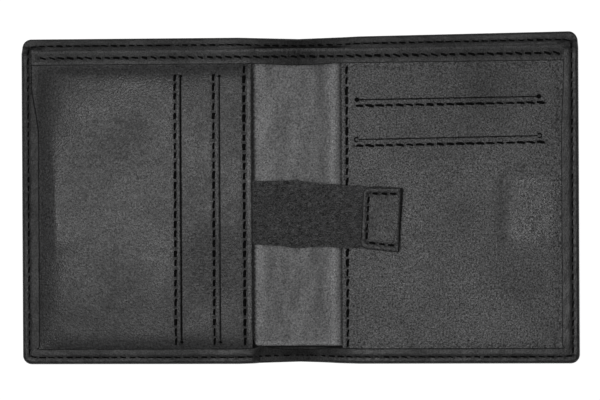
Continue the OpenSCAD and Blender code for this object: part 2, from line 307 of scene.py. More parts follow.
def make_object(name, vertices, faces, material, shade=None, wrinkle=None):
    """A smooth mesh object from millimetre vertices, with the attributes its material reads."""
    vertices = np.array(vertices, float)
    x, y = vertices[:, 0], vertices[:, 1]
    up = (y + HALF_H) / (2 * HALF_H)
    far = np.clip((x - 15) / (HALF_W - 15), 0, 1)
    vertices[:, 1] = y + STRETCH / 2 * up + (STRETCH / 2 + FLARE * far) * up ** HEM_SHARE
    mesh = bpy.data.meshes.new(name)
    mesh.from_pydata((vertices * MM).tolist(), [], faces)
    mesh.validate()
    mesh.polygons.foreach_set("use_smooth", [True] * len(mesh.polygons))
    rest = mesh.attributes.new("rest_mm", "FLOAT_VECTOR", "POINT")
    rest.data.foreach_set("vector", vertices.astype(np.float32).ravel())
    for key, values in (("shade", shade), ("wrinkle", wrinkle)):
        field = mesh.attributes.new(key, "FLOAT", "POINT")
        if values is not None:
            field.data.foreach_set("value", np.asarray(values, np.float32))
    mesh.materials.append(material)
    mesh.update()
    return add_object(name, mesh)


def triangles(outline, holes, points):
    """Triangulates the points inside an outline and outside its holes. Returns places and faces."""
    loops = [outline, *holes]
    coords, edges = [], []
    for loop in loops:
        base = len(coords)
        coords += [Vector((float(p[0]), float(p[1]))) for p in loop]
        edges += [(base + i, base + (i + 1) % len(loop)) for i in range(len(loop))]
    coords += [Vector((float(p[0]), float(p[1]))) for p in points]
    out, _, faces, *_ = delaunay_2d_cdt(coords, edges, [], 1, 1e-4)
    out = np.array([tuple(v) for v in out])
    faces = np.array(faces)
    middle = out[faces].mean(1)
    keep = inside(middle, outline)
    for hole in holes:
        keep &= ~inside(middle, hole)
    faces = faces[keep]
    a, b, c = out[faces[:, 0]], out[faces[:, 1]], out[faces[:, 2]]
    turned = (b[:, 0] - a[:, 0]) * (c[:, 1] - a[:, 1]) < (b[:, 1] - a[:, 1]) * (c[:, 0] - a[:, 0])
    faces[turned] = faces[turned][:, ::-1]
    used = np.unique(faces)
    index = np.full(len(out), -1)
    index[used] = np.arange(len(used))
    return out[used], index[faces]


def boundary_edges(faces):
    """Directed edges that belong to one triangle only."""
    edges = [edge for a, b, c in faces.tolist() for edge in ((a, b), (b, c), (c, a))]
    known = set(edges)
    return [(a, b) for a, b in edges if (b, a) not in known]


EDGE_RINGS = (0.07, 0.17, 0.32, 0.55)    # rows of points this far from a cut edge round it
GRID_CLEAR, SEAM_CLEAR = 0.8, 0.6        # how far other points stay from the cut edges
SEAM_CELL = 0.7                          # a cell with points of a seam has none of the grid


def leather_sheet(name, outline, top, under, material, step, edge_r, holes=(), seams=(),
                  shade=None, wrinkle=None, cuts=()):
    """A closed piece of leather: top(x, y) and under(x, y) give its faces, and its cut edges
    are rounded. Needle holes dimple it along its seams. On the lines x = cut it meets the next
    stretch of the same leather, so it keeps its full thickness and a crisp end."""
    (x0, y0), (x1, y1) = outline.min(0) + step / 2, outline.max(0)
    loops = [outline, *holes]
    rings = [shifted(outline, d) for d in EDGE_RINGS]
    rings += [shifted(hole, -d) for hole in holes for d in EDGE_RINGS]
    points = grid(np.arange(x0, x1, step), np.arange(y0, y1, step), step / 2)
    points = points[distance_to(points, loops) > GRID_CLEAR]
    if seams:
        fine = np.vstack([s.mesh_points() for s in seams])
        fine = fine[distance_to(fine, loops) > SEAM_CLEAR]
        cells = {tuple(c) for c in np.floor(fine / SEAM_CELL).astype(int).tolist()}
        taken = [tuple(c) in cells for c in np.floor(points / SEAM_CELL).astype(int).tolist()]
        points = np.vstack([points[~np.array(taken)], fine])
    places, faces = triangles(outline, holes, np.vstack([points, *rings]))
    x, y = places.T
    edge = distance_to(places, loops, cuts)
    dz, dark = all_relief(seams, x, y)
    round_off = edge_r * (1 - np.sqrt(1 - (1 - np.clip(edge / edge_r, 0, 1)) ** 2))
    z_top, z_under = top(x, y), under(x, y)
    round_off = np.minimum(round_off, (z_top - z_under) * 0.45)
    z_top = z_top + dz - round_off
    z_under = np.minimum(z_under + round_off * 0.6, z_top - 0.05)
    count = len(places)
    vertices = np.r_[np.c_[x, y, z_top], np.c_[x, y, z_under]]
    quads, on_cut, twin = [], [], {}
    for a, b in boundary_edges(faces):
        if on_line(x[a], x[b], cuts):
            for v in (a, b):
                if v not in twin:
                    twin[v] = 2 * count + len(on_cut)
                    on_cut += [v, v + count]
            quads.append((twin[a], twin[a] + 1, twin[b] + 1, twin[b]))
        else:
            quads.append((a, a + count, b + count, b))
    all_faces = faces.tolist() + (faces[:, ::-1] + count).tolist() + quads
    # painted shade of the needle holes plus the piece's own painted light and shade
    dark = dark if shade is None else np.clip(dark + shade(x, y), -2.5, 1)
    folds = x * 0 if wrinkle is None else wrinkle(x, y)
    source = np.r_[np.arange(2 * count), np.array(on_cut, int)]
    return make_object(name, vertices[source], all_faces, material, np.r_[dark, dark * 0][source],
                       np.r_[folds, x * 0][source])


THREAD_SUNK = 0.12        # a stitch lies this far below the leather round it


def stitch_row(name, rows, radius, arch=0.26, slant=0.13, length_share=0.68):
    """Threads from hole to hole. Each row is (holes, height(x, y), up): the height that they
    start from, and whether the leather's face there looks up (1) or down (-1)."""
    sides, rings = 8, 9
    vertices, faces = [], []
    rng = np.random.default_rng(len(name) + 7)
    for holes, height, up in rows:
        for a, b in zip(holes[:-1], holes[1:]):
            run = b - a
            length = float(np.linalg.norm(run))
            along = np.array([*(run / length), 0.0])
            side = np.array([-along[1], along[0], 0.0])
            lean = slant * rng.uniform(0.3, 1.7)
            thick = radius * rng.uniform(0.82, 1.12)
            high = arch * rng.uniform(0.7, 1.1)
            share = length_share * rng.uniform(0.86, 1.12)
            late = (1 - share) * rng.uniform(0.35, 0.65)
            base = len(vertices)
            for k in range(rings):
                s = late + share * k / (rings - 1)
                swell = math.sin(math.pi * s) ** 0.45
                x, y = a + run * s + side[:2] * (lean * (1 - 2 * s))
                centre = np.array([x, y, float(height(np.array(x), np.array(y)))
                                   + up * (high * swell - 0.26)])
                for j in range(sides):
                    t = math.tau * j / sides
                    r = thick * (0.5 + 0.5 * swell) * (1 + 0.13 * math.cos(2 * t + 9 * s))
                    vertices.append(centre + side * (math.cos(t) * r)
                                    + np.array([0, 0, math.sin(t) * r * 0.75]))
            for k in range(rings - 1):
                for j in range(sides):
                    n = (j + 1) % sides
                    faces.append((base + k * sides + j, base + k * sides + n,
                                  base + (k + 1) * sides + n, base + (k + 1) * sides + j))
            faces.append(tuple(base + j for j in reversed(range(sides))))
            faces.append(tuple(base + (rings - 1) * sides + j for j in range(sides)))
    return make_object(name, vertices, faces, THREAD)


def on_top(seams, top, sunk=THREAD_SUNK):
    """Rows of stitches along seams in a piece of leather whose upper face is top(x, y)."""
    return [(seam.holes(), lambda x, y: top(x, y) - sunk, 1) for seam in seams]


# ---------------------------------------------------------------- materials

class Nodes:
    """Short hand for a material's node tree."""

    def __init__(self, name):
        self.material = bpy.data.materials.new(name)
        self.material.use_nodes = True
        self.tree = self.material.node_tree
        self.shader = self.tree.nodes["Principled BSDF"]

    def add(self, kind, links=(), **values):
        node = self.tree.nodes.new(kind)
        for key, value in values.items():
            if key.startswith("in_"):
                node.inputs[key[3:].replace("_", " ")].default_value = value
            else:
                setattr(node, key, value)
        for socket, source in dict(links).items():
            self.tree.links.new(source, node.inputs[socket])
        return node

    def math(self, operation, a, b):
        node = self.add("ShaderNodeMath", operation=operation)
        for i, value in enumerate((a, b)):
            if isinstance(value, (int, float)):
                node.inputs[i].default_value = value
            else:
                self.tree.links.new(value, node.inputs[i])
        return node.outputs[0]

    def product(self, first, *factors):
        for factor in factors:
            first = self.math("MULTIPLY", first, factor)
        return first

    def total(self, *terms):
        """The sum of the terms. A pair counts as its first times its second."""
        first, *others = [self.product(*t) if isinstance(t, tuple) else t for t in terms]
        for other in others:
            first = self.math("ADD", first, other)
        return first

    def rest(self, scale=(1, 1, 1)):
        place = self.add("ShaderNodeAttribute", attribute_name="rest_mm")
        mapping = self.add("ShaderNodeMapping", {"Vector": place.outputs["Vector"]})
        mapping.inputs["Scale"].default_value = scale
        return mapping.outputs["Vector"]

    def noise(self, vector, scale, detail, rough, distort=0.0):
        node = self.add("ShaderNodeTexNoise", {"Vector": vector}, in_Scale=scale,
                        in_Detail=detail, in_Roughness=rough, in_Distortion=distort)
        return node.outputs["Fac"]

    def field(self, key):
        return self.add("ShaderNodeAttribute", attribute_name=key).outputs["Fac"]

    def set(self, **values):
        for key, value in values.items():
            socket = self.shader.inputs[key.replace("_", " ")]
            if hasattr(value, "is_output"):
                self.tree.links.new(value, socket)
            else:
                socket.default_value = value


    def skin(self, level, light, height, rough, specular, strength=1.0, distance=1.0):
        """Gives the shader that grey level times light, a shade cooler than neutral, and a bump
        whose heights are in units of distance millimetres. Returns the material."""
        value = self.product(light, level)
        colour = self.add("ShaderNodeCombineColor", {"Red": value, "Green": value,
                                                     "Blue": self.product(value, 1.015)})
        bump = self.add("ShaderNodeBump", {"Height": height}, in_Strength=strength,
                        in_Distance=distance * MM)
        self.set(Base_Color=colour.outputs["Color"], Roughness=rough,
                 Specular_IOR_Level=specular, Normal=bump.outputs["Normal"])
        return self.material


def leather(name, level, rough, specular, mottle, scale=1.9, relief=0.8, speckle=1.9,
            wrinkle_way=(1, 1, 1), lines=0.0):
    """Dyed leather: pebbled grain, fine pores, soft mottling, wrinkles, and the painted shade and
    light of the shade attribute, needle holes included.
    scale is the grain's pebbles for each millimetre and the heights are in millimetres."""
    n = Nodes(name)
    flat = n.rest()
    pebbles = n.noise(flat, scale, 2.0, 0.55, 0.35)
    cells = n.add("ShaderNodeTexVoronoi", {"Vector": flat}, in_Scale=scale * 1.15,
                  feature="SMOOTH_F1", in_Smoothness=0.25)
    pores = n.noise(flat, scale * 3.0, 3.0, 0.6)
    broad = n.noise(flat, 0.045, 3.0, 0.55)
    patch = n.noise(flat, 0.35, 3.0, 0.6)
    folds = n.noise(n.rest(wrinkle_way), 0.9, 3.0, 0.6, 0.5)
    shade = n.field("shade")
    height = n.total((pebbles, 0.20 * relief), (cells.outputs["Distance"], -0.05 * relief),
                     (pores, 0.018 * relief), (folds, n.total(n.field("wrinkle"), lines), 0.45))
    # the shade attribute darkens or lightens the colour: painted shade and light
    light = n.product(n.total((broad, 1.6 * mottle), 1 - 0.8 * mottle),
                      n.total((patch, mottle), 1 - 0.5 * mottle),
                      n.total((pebbles, 1.9 * speckle), 1 - 0.95 * speckle),
                      n.total((pores, 0.8 * speckle), 1 - 0.4 * speckle),
                      n.total((shade, -0.85), 1.0))
    roughness = n.total((pebbles, -0.35), (patch, -0.21), (broad, -0.45),
                        (n.math("MAXIMUM", shade, -0.25), 0.4), rough + 0.505)
    return n.skin(level, light, height, roughness, specular)


def suede(name, level):
    """The flesh side of leather: matt, with short matted fibres."""
    n = Nodes(name)
    flat = n.rest()
    fibres = n.noise(n.rest((0.9, 1.4, 1.0)), 1.15, 4.0, 0.7, 1.9)
    nap = n.noise(flat, 4.0, 4.0, 0.7)
    broad = n.noise(flat, 0.16, 3.0, 0.6)
    strands = n.add("ShaderNodeTexVoronoi", {"Vector": n.rest((0.7, 1.2, 1.0))}, in_Scale=0.9)
    light = n.product(n.math("MAXIMUM", n.total((fibres, 9.0), -3.6), 0.2),
                      n.total((broad, 0.7), 0.65), n.total((nap, 0.8), 0.6))
    light = n.product(n.total(light, (strands.outputs["Distance"], 0.08)),
                      n.total((n.field("shade"), -0.8), 1.0))
    n.set(Sheen_Weight=0.12, Sheen_Roughness=0.5)
    return n.skin(level, light, n.total((fibres, 0.30), (nap, 0.03)), 0.92, 0.2)


def cloth(name, level):
    """Plain woven lining cloth."""
    n = Nodes(name)
    flat = n.rest()
    weave = n.product(*(n.add("ShaderNodeTexWave", {"Vector": flat}, in_Scale=1.6,
                              bands_direction=way).outputs["Fac"] for way in "XY"))
    return n.skin(level, n.total((weave, 0.6), 0.6), weave, 0.85, 0.15, 0.5, 0.1)


def thread(name, level):
    """Waxed sewing thread with its twist."""
    n = Nodes(name)
    flat = n.rest()
    twist = n.add("ShaderNodeTexWave", {"Vector": flat}, in_Scale=1.4, in_Distortion=1.0,
                  bands_direction="DIAGONAL")
    light = n.total((n.noise(flat, 5.0, 3.0, 0.6), 0.7), 0.6)
    return n.skin(level, light, twist.outputs["Fac"], 0.8, 0.12, 0.5, 0.08)


PANEL = leather("panel leather", 0.050, rough=0.38, specular=0.5, scale=1.7, relief=0.9,
                speckle=2.1, mottle=0.4, wrinkle_way=(0.55, 1.6, 1.0))
PEBBLED = leather("pebbled panel leather", 0.080, rough=0.36, specular=0.55, scale=1.8,
                  relief=1.4, speckle=3.1, mottle=0.35, wrinkle_way=(0.55, 1.6, 1.0))
SHELL = leather("shell leather", 0.022, rough=0.46, specular=0.36, mottle=0.35, relief=0.5,
                wrinkle_way=(1.6, 0.4, 1.0))
FACING = leather("facing leather", 0.026, rough=0.48, specular=0.36, mottle=0.35,
                 wrinkle_way=(1.7, 0.35, 1.0))
DIVIDER = leather("divider leather", 0.146, rough=0.38, specular=0.5, scale=1.9, relief=0.9,
                  speckle=1.7, mottle=0.16, wrinkle_way=(1.5, 0.45, 1.0), lines=0.12)
TAB = leather("tab leather", 0.033, rough=0.42, specular=0.42, scale=1.5, relief=1.1,
              speckle=2.6, mottle=0.25)
STRAP = suede("strap suede", 0.069)
LINING = cloth("lining cloth", 0.02)
SLOT_CLOTH = cloth("slot cloth", 0.004)
THREAD = thread("black thread", 0.002)


# ---------------------------------------------------------------- camera, light and floor

def look_at(obj, place, target, roll=0.0):
    """Turns a camera or lamp to a target, with +Y up in its picture, then rolls it."""
    back = (Vector(place) - Vector(target)).normalized()
    right = Vector((0, 1, 0)).cross(back).normalized()
    turn = Matrix((right, back.cross(right), back)).transposed()
    obj.location = place
    obj.rotation_mode = "QUATERNION"
    obj.rotation_quaternion = turn.to_quaternion() @ Matrix.Rotation(roll, 4, "Z").to_quaternion()


CAMERA_FAR = 0.60
CAMERA_TILT = math.radians(2.3)
CAMERA_ROLL = math.radians(-0.3)
AIM = (0.00025, 0.0004, 0.0)

camera = add_object("camera", bpy.data.cameras.new("camera"))
camera.data.lens = 108.0
camera.data.clip_start, camera.data.clip_end = 0.01, 20
look_at(camera, (AIM[0] + CAMERA_FAR * math.sin(CAMERA_TILT), AIM[1],
                 CAMERA_FAR * math.cos(CAMERA_TILT)), AIM, CAMERA_ROLL)
bpy.context.scene.camera = camera


softbox = add_object("overhead softbox", bpy.data.lights.new("overhead softbox", "AREA"))
softbox.data.shape, softbox.data.size, softbox.data.energy = "SQUARE", 0.62, 4.8
look_at(softbox, (-0.13, 0.02, 1.05), (0, 0, 0))

world = bpy.data.worlds.new("studio")
world.use_nodes = True
world.node_tree.nodes["Background"].inputs["Color"].default_value = (1, 1, 1, 1)
world.node_tree.nodes["Background"].inputs["Strength"].default_value = 0.10
bpy.context.scene.world = world
bpy.context.scene.view_settings.view_transform = "Standard"


def make_floor():
    floor_mesh = bpy.data.meshes.new("floor")
    far = 3.0
    floor_mesh.from_pydata([(-far, -far, 0), (far, -far, 0), (far, far, 0), (-far, far, 0)], [],
                           [(0, 1, 2, 3)])
    floor = add_object("floor", floor_mesh)
    floor.location.z = -0.0001
    n = Nodes("white table")
    n.set(Base_Color=(0.5, 0.5, 0.5, 1), Roughness=0.9, Specular_IOR_Level=0.0,
          Emission_Color=(1, 1, 1, 1), Emission_Strength=0.85)
    floor_mesh.materials.append(n.material)


make_floor()


# ---------------------------------------------------------------- riding on bodies

def bend(obj, a, b, start, end):
    """Bakes obj's transform into its mesh and does not bend it; a, b, start and end are not used.
    """
    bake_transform(obj)


def finish(obj, body, slot, *nodes):
    """Lets obj ride on a body and hides the CAD nodes that it stands for; slot is not used."""
    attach(obj, body)
    if nodes:
        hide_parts(*nodes)


def finish_blended(obj, side, sheet, over_spine=None):
    """Passes obj to bend for the left or the right fold, which only bakes its transform. It stands
    for the CAD sheet's stretch on its own side, and the left one for the stretch over the spine
    too."""
    if side == "left":
        bend(obj, "left_half", "spine", -FOLD_X - BEND, -FOLD_X + BEND)
    else:
        bend(obj, "spine", "right_half", FOLD_X - BEND, FOLD_X + BEND)
    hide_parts(f"{sheet}_{side}", *([over_spine or f"{sheet}_spine"] * (side == "left")))


def on_both_sides(build):
    for side in SIDES:
        build(side)


# ---------------------------------------------------------------- outer shell

def flap_height(x, y):
    """Top of the turned-in edge: raised over the panels, low along the top and over the spine,
    with a slanting step at the left panel's mouth and a smooth one on the right."""
    raised_side = ramp(-y, -51.6, -49.0) * ramp(np.abs(x), HALF_W - 6.8, HALF_W - 6.1)
    step_x = -14.3 + 1.5 * np.clip((y + 50.9) / 2.2, 0, 1)
    raised_low = np.where(x < 0, ramp(step_x - x, -0.4, 0.4), ramp(x, 5.5, 13.9))
    raised = np.where(y > 40, raised_side, raised_low)
    return LOW_HEM_TOP + (FLAP_TOP - LOW_HEM_TOP) * raised


def flap_width(station, mirrored):
    """How far the turned-in edge reaches in from the outer edge at a station."""
    narrowing = 0.7 if mirrored else 2.7
    kind, s = station
    high = kind in ("high", "corner_high")
    y = s * HALF_H if kind == "side" else (HALF_H if high else -HALF_H)
    side = 5.85 - narrowing * float(ramp(y, 24, 46))
    x = -s * HALF_W if kind in ("low", "high") else -HALF_W
    low = 5.15 - 0.7 * float(bell(x, 9.0, 4))
    if not mirrored:
        low += float(bell(x + 13.6, 1.6))
    if kind == "side":
        return side
    if kind == "low":
        return low
    if kind == "high":
        return 5.4
    turned = (s - 90) / 90 if high else (270 - s) / 90
    return (5.4 if high else 5.15) * (1 - turned) + side * turned


def shell_stations(step=1.0):
    """Stations round the left half from the spine's lower end to its upper end: the stretch,
    and how far along it, as a fraction or as an angle in degrees."""
    across = round(HALF_W / step)
    down = round(2 * HALF_H / step)
    stations = [("low", i / across) for i in range(across)]
    stations += [("corner_low", a) for a in np.linspace(270, 180, 12)]
    stations += [("side", -1 + 2 * i / down) for i in range(1, down)]
    stations += [("corner_high", a) for a in np.linspace(180, 90, 12)]
    stations += [("high", 1 - i / across) for i in range(1, across + 1)]
    return stations


def inset_place(station, d):
    """The point of a station at distance d from the outer edge."""
    kind, s = station
    tight = max(CORNER_R - d, 0.25)
    start = d + tight
    if kind in ("low", "high"):
        x = -s * (HALF_W - start)
        return np.array([x, edge_y(x, d) * (1 if kind == "high" else -1)])
    if kind == "side":
        return np.array([-HALF_W + d, s * (HALF_H - start)])
    up = 1 if kind == "corner_high" else -1
    a = math.radians(s)
    return np.array([-HALF_W + start + tight * math.cos(a),
                     up * (HALF_H - start) + tight * math.sin(a)])


def perimeter_holes(mirrored):
    """Needle holes of the edge seam of one half."""
    line = np.array([inset_place(s, EDGE_SEAM) for s in shell_stations(0.5)])
    lengths = np.r_[0, np.cumsum(np.linalg.norm(np.diff(line, axis=0), axis=1))]
    count = round(lengths[-1] / STITCH_PITCH)
    at = np.linspace(0, lengths[-1], count + 1)
    x, y = np.interp(at, lengths, line[:, 0]), np.interp(at, lengths, line[:, 1])
    return np.c_[-x if mirrored else x, y]


FLAP_POINTS = range(20, 34)    # the profile's points on the flap's front face


def shell_profile(h, w):
    """Cross-section of the shell's edge as (distance from the edge, height): from the outer
    face round the edge to the turned-in flap, and back inside to the plate's inner face."""
    low_r = min(1.15, h * 0.42)
    high_r = min(1.1, h * 0.42)
    groove = [(PLATE_INSET, 0.0), (5.0, 0.0), (3.2, 0.0), (2.8, 0.05), (2.5, 0.16), (2.3, 0.2),
              (2.1, 0.16), (1.8, 0.05)]
    lower = arc(low_r, low_r, low_r, 270, 180, 6)
    upper = arc(high_r, h - high_r, high_r, 180, 90, 7)
    top = [(d, h) for d in (1.45, 1.8, 2.05, 2.3, 2.55, 2.8, 3.15, *np.linspace(3.5, w - 0.45, 4))]
    lip = [(w - 0.2, h - 0.04), (w - 0.06, h - 0.15), (w, h - 0.32), (w - 0.08, h - 0.52)]
    flap_under = h - FLAP_T
    inner = [(w - 0.3, flap_under), (3.0, flap_under), (1.4, flap_under)]
    if flap_under > SHELL_T + 0.4:
        inner += [(1.05, flap_under - 0.25), (1.0, (flap_under + SHELL_T) / 2),
                  (1.05, SHELL_T + 0.2)]
    else:
        inner += [(1.3, flap_under - 0.005), (1.28, (flap_under + SHELL_T) / 2 - 0.01),
                  (1.3, SHELL_T - 0.005)]
    plate = [(d, PLATE_TOP) for d in (1.4, 3.0, 5.0, PLATE_INSET)]
    return groove + lower + upper + top + lip + inner + plate


# pleats at the left corners: upper 1 or lower -1, two ends as distances from the side and from
# the long edge, depth and width
CORNER_PLEATS = ((-1, (5.3, 5.6), (5.3, 0.8), 0.10, 0.28), (1, (5.3, 5.6), (5.3, 0.8), 0.10, 0.28),
                 (-1, (0.6, 5.2), (5.5, 5.2), 0.12, 0.28), (1, (1.2, 1.6), (3.0, 3.6), 0.16, 0.35),
                 (1, (2.2, 4.1), (17.0, 3.5), 0.16, 0.4))


def top_relief(x, y, d):
    """Small changes of the flap's height: seam groove, ridge, pleats and crinkles."""
    z = 0.06 * bell(d - 3.6, 0.7) - 0.16 * bell(d - EDGE_SEAM, 0.5)
    z -= 0.36 * bell(x, 24, 4) * ramp(y, 40, 45) * ramp(d, 2.6, 3.2)
    crinkle = np.sin(x * 2.3 + 1.4 * np.sin(y * 0.9)) + 0.6 * np.sin(x * 4.1 + y * 0.7 + 1.0)
    z += 0.20 * bell(x, 8.5, 4) * crinkle * ramp(d, 0.6, 1.6)
    z += 0.05 * waves(x, y, 5.0, 11) + 0.03 * waves(x, y, 2.2, 12)
    for up, a, b, depth, width in CORNER_PLEATS:
        ends = [(inward - HALF_W, up * (HALF_H - down)) for inward, down in (a, b)]
        z += crease(x, y, *ends, depth, width)
    return z


def build_shell(side):
    """One half of the outer leather, from the middle of the spine out. Its edge is a
    cross-section swept round it, and the plate within is a flat mesh. The right half is made
    as a left one and mirrored at the end."""
    mirrored = side == "right"
    sign = -1.0 if mirrored else 1.0
    path = shell_stations()
    vertices, dark = [], []

    def shading_and_tone(x, y, d):
        """Painted shade over the spine, where the hem lies low, and a painted shadow where the edge
        faces the compartment's gap; darker along the upper edge, lighter near the lower hem's ends,
        painted light on the right half's far hem and painted shade in the left half's upper corner.
        """
        # painted shade over the spine, where the hem lies low
        spine_shade = (0.30 if y > 0 else 0.14) * bell(x, 12.5, 4) + 0.34 * bell(x + 1.0, 4.0)
        # painted shadow in the compartment's mouth
        gap_shadow = (1.0 if y > 0 else 0.35) * bell(x, 15.5, 6) * ramp(d, 2.4, 2.9)
        upper = 0.12 * ramp(y, 47, 50) * (1 - ramp(-x, 78, 88))
        ends = -0.25 * between(-x, 14.5, 18, 26, 40) * ramp(-y, 40, 50)
        # painted light on the right half's far hem; painted shade in the left upper corner
        if mirrored:
            side_light_corner_shade = -0.45 * ramp(-x, 30, 80)
        else:
            side_light_corner_shade = 0.9 * bell(x + HALF_W - 2.9, 0.9) * bell(y - HALF_H + 3.4, 0.9)
        return min(0.98, float(spine_shade + gap_shadow + upper + ends + side_light_corner_shade))

    for station in path:
        edge = inset_place(station, 0.0)
        h = float(flap_height(sign * edge[0], edge[1]))
        profile = shell_profile(h, flap_width(station, mirrored))
        for k, (d, z) in enumerate(profile):
            x, y = inset_place(station, d)
            if k in FLAP_POINTS:
                z += float(top_relief(x, y, d))
                z += float(flap_height(sign * x, y)) - h if d > 1.0 else 0.0
            vertices.append((x, y, z))
            dark.append(shading_and_tone(x, y, d) if k in FLAP_POINTS else 0.0)
    vertices = np.array(vertices)
    size, count = len(profile), len(path)
    faces = [(a, a + 1, a + size + 1, a + size)
             for i in range(count - 1) for a in range(i * size, (i + 1) * size - 1)]
    ring_under = [i * size for i in range(count)]
    ring_top = [i * size + size - 1 for i in range(count)]
    outline = vertices[ring_under][:, :2]
    closing = dense([outline[-1], outline[0]], 1.5, closed=False)[1:-1]
    loop = np.vstack([outline[::-1], closing[::-1]])
    clear = PLATE_INSET + 1
    places, tris = triangles(loop, [], grid(np.arange(clear - HALF_W, -0.4, 1.5),
                                            np.arange(clear - HALF_H, HALF_H - clear, 3.0)))
    lookup = {tuple(np.round(p, 4)): i for i, p in enumerate(outline)}
    top_id, under_id, more = [], [], []
    base = len(vertices)
    for p in places:
        at = lookup.get(tuple(np.round(p, 4)))
        if at is None:
            under_id.append(base + len(more))
            top_id.append(base + len(more) + 1)
            more += [(*p, 0.0), (*p, PLATE_TOP)]
        else:
            under_id.append(ring_under[at])
            top_id.append(ring_top[at])
    vertices = np.vstack([vertices, np.array(more)])
    wrinkle = 0.12 + 0.8 * bell(vertices[:, 0], 9.0)
    for t in tris.tolist():
        faces.append(tuple(under_id[v] for v in reversed(t)))
        faces.append(tuple(top_id[v] for v in t))
    cut_faces = [(top_id[a], under_id[a], under_id[b], top_id[b]) for a, b in boundary_edges(tris)
                 if abs(places[a][0]) < 1e-3 and abs(places[b][0]) < 1e-3]
    cut_faces.append(tuple(range(size)))
    cut_faces.append(tuple(reversed(range((count - 1) * size, count * size))))
    used = sorted({v for f in cut_faces for v in f})
    twin = {v: len(vertices) + i for i, v in enumerate(used)}
    vertices = np.vstack([vertices, vertices[used]])
    dark = np.r_[dark, np.zeros(len(vertices) - len(dark))]
    wrinkle = np.r_[wrinkle, np.zeros(len(used))]
    faces += [tuple(twin[v] for v in f) for f in cut_faces]
    # painted shade in the edge seam's needle holes
    for hole in perimeter_holes(False):
        d2 = ((vertices[:, :2] - hole) ** 2).sum(1)
        close = d2 < 1.0
        dark[close] = np.maximum(dark[close], np.exp(-d2[close] / 0.2))
    if mirrored:
        vertices = vertices * np.array([-1.0, 1.0, 1.0])
        faces = [tuple(reversed(f)) for f in faces]
    obj = make_object(f"outer_shell_{side}", vertices, faces, SHELL, dark, wrinkle)
    finish_blended(obj, side, "shell")


on_both_sides(build_shell)


def build_edge_stitches(side):
    holes = perimeter_holes(side == "right")
    rows = [(holes, lambda x, y: flap_height(x, y) - THREAD_SUNK, 1),
            (holes, lambda x, y: 0.36, -1)]
    obj = stitch_row(f"edge_stitches_{side}", rows, radius=0.33, arch=0.21, length_share=0.70)
    finish_blended(obj, side, "edge_thread", "hem_thread_spine")


on_both_sides(build_edge_stitches)


# ---------------------------------------------------------------- compartment lining, divider

def build_lining(side):
    x0, x1 = (WRAPPED_X, 0.0) if side == "left" else (0.0, -WRAPPED_X)
    obj = leather_sheet(f"compartment_lining_{side}",
                        rectangle(x0, x1, LINING_LOW_Y, LINING_HIGH_Y, 1.5),
                        lambda x, y: LINING_TOP + 0.02 * waves(x, y, 9, 3),
                        lambda x, y: x * 0 + SHELL_T, LINING, step=2.0, edge_r=0.08)
    finish_blended(obj, side, "shell_lining")


on_both_sides(build_lining)


def divider_top(x, y):
    """Front face of the divider: soft ridges at both sides, a valley right of the middle."""
    inner = bell(x, 13.0, 6)
    z = DIVIDER_TOP - 0.02 + 0.25 * bell(x + 11.0, 4.5)
    z += 0.55 * bell(x - 11.6, 2.2) - 0.14 * bell(x - 6.5, 2.4)
    z += inner * (0.04 * waves(x * 1.6, y * 0.5, 4.0, 21)
                  + 0.025 * waves(x * 2.0, y * 0.6, 1.8, 22)
                  + 0.05 * waves(x, y * 0.35, 9.0, 23))
    return z + 0.10 * inner * bell(y - SPINE_EDGE_Y - 0.8, 0.9)


def divider_shading(x, y):
    """Painted light and shade: lighter where the strip bulges at both sides and along its rolled
    lower edge, darker in its valley, with a painted shadow close to the pockets' mouths and painted
    shade under the facing's lower edge."""
    drift = 0.8 * np.sin(y / 21.0)
    # painted highlight on the left bulge, painted shade in the valley
    shading_and_tone = 0.08 - 0.26 * bell(x + 12.8 - 0.5 * drift, 2.4) + 0.20 * bell(x - 6.9 - drift, 2.0)
    # painted highlight on the right bulge
    shading_and_tone += 0.10 * waves(x * 1.6, y * 0.5, 9.0, 24) - 0.36 * bell(x - 11.3, 1.9)
    # painted highlight along the rolled lower edge
    shading_and_tone -= 0.30 * bell(y - SPINE_EDGE_Y - 0.7, 0.7)
    # painted shadow beside the pockets' mouths; painted shade under the facing's lower edge
    mouth_shadow = bell(x - LEFT_MOUTH - 0.3, 0.52) + bell(x - RIGHT_MOUTH + 0.15, 0.42)
    return shading_and_tone + 2.0 * mouth_shadow + 0.5 * bell(y - FACING_LOW_Y + 0.1, 0.5)


def build_divider(side):
    """One half of the divider, whose lower edge is cut back between the pockets."""
    notch_y = SPINE_EDGE_Y
    bottom = -HALF_H + 1.1
    if side == "left":
        r = 1.9
        corner = LEFT_MOUTH + 0.15
        points = ([(WRAPPED_X, bottom), (corner - 4.5, bottom), (corner - 4.5, notch_y + r),
                   (corner - 0.2, notch_y + r)]
                  + arc(corner + r, notch_y + r, r, 180, 270, 8)
                  + [(0.0, notch_y), (0.0, DIVIDER_TOP_Y), (WRAPPED_X, DIVIDER_TOP_Y)])
    else:
        points = [(0.0, notch_y), (RIGHT_MOUTH + 1.0, notch_y), (RIGHT_MOUTH + 1.0, bottom),
                  (-WRAPPED_X, bottom), (-WRAPPED_X, DIVIDER_TOP_Y), (0.0, DIVIDER_TOP_Y)]
    thickness = DIVIDER_TOP - DIVIDER_Z
    obj = leather_sheet(f"divider_leather_{side}", dense(points, 0.9), divider_top,
                        lambda x, y: divider_top(x, y) - thickness, DIVIDER, step=0.9,
                        edge_r=0.28, shade=divider_shading, cuts=(0,))
    finish_blended(obj, side, "divider")


on_both_sides(build_divider)


# ---------------------------------------------------------------- facing

FACING_SEAM_Y = FACING_TOP_Y - 2.7
FACING_END = {"left": -HALF_W + 3.3, "right": HALF_W - 4.6}


